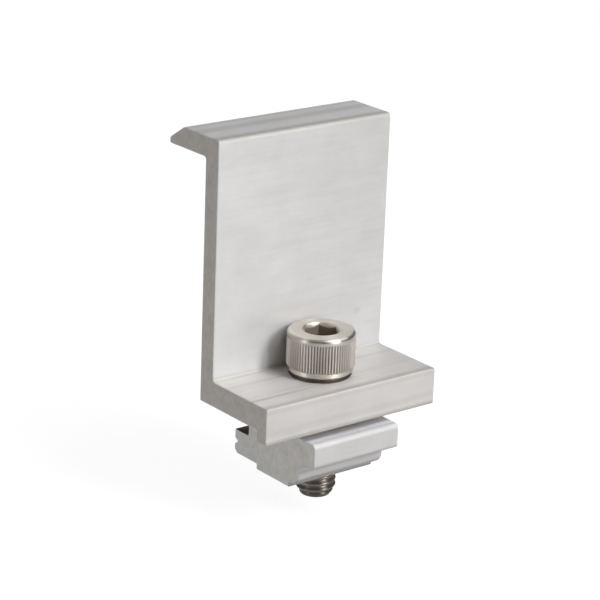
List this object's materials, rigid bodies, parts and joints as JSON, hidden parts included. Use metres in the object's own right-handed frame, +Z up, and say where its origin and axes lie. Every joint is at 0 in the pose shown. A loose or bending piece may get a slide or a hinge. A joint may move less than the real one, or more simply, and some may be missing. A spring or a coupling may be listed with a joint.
{
  "type": "solar end clamp",
  "caption": "Z-shaped extruded end clamp for a framed solar panel, with a knurled socket-head screw and a winged rail nut.",
  "frame": {"origin": "point where the screw's axis meets the top of the rail, the plane of the heel's underside", "axes": "+X along the extrusions, +Y towards the panel, +Z up along the screw"},
  "size_m": [0.04, 0.0337, 0.0705],
  "materials": {
    "bracket_aluminium": "plain mill extrusion",
    "nut_aluminium": "plain mill extrusion",
    "screw_stainless": "bright turned",
    "washer_steel": "dull"
  },
  "bodies": {
    "bracket": {"clamp_bracket": "bracket_aluminium", "lock_washer": "washer_steel"},
    "screw": {"cap_screw": "screw_stainless"},
    "nut": {"rail_nut": "nut_aluminium"}
  },
  "joints": [
    {"name": "screw_turn", "type": "hinge", "parent": "bracket", "child": "screw", "pos_m": [0, 0, 0], "axis": [0, 0, 1], "range_deg": [-360, 1260]},
    {"name": "nut_travel", "type": "slide", "parent": "bracket", "child": "nut", "axis": [0, 0, -1], "range_m": [-0.0013, 0.0044]}
  ],
  "couplings": [
    {"joint": "nut_travel", "follows": "screw_turn", "m_per_rad": 0.00019894}
  ]
}
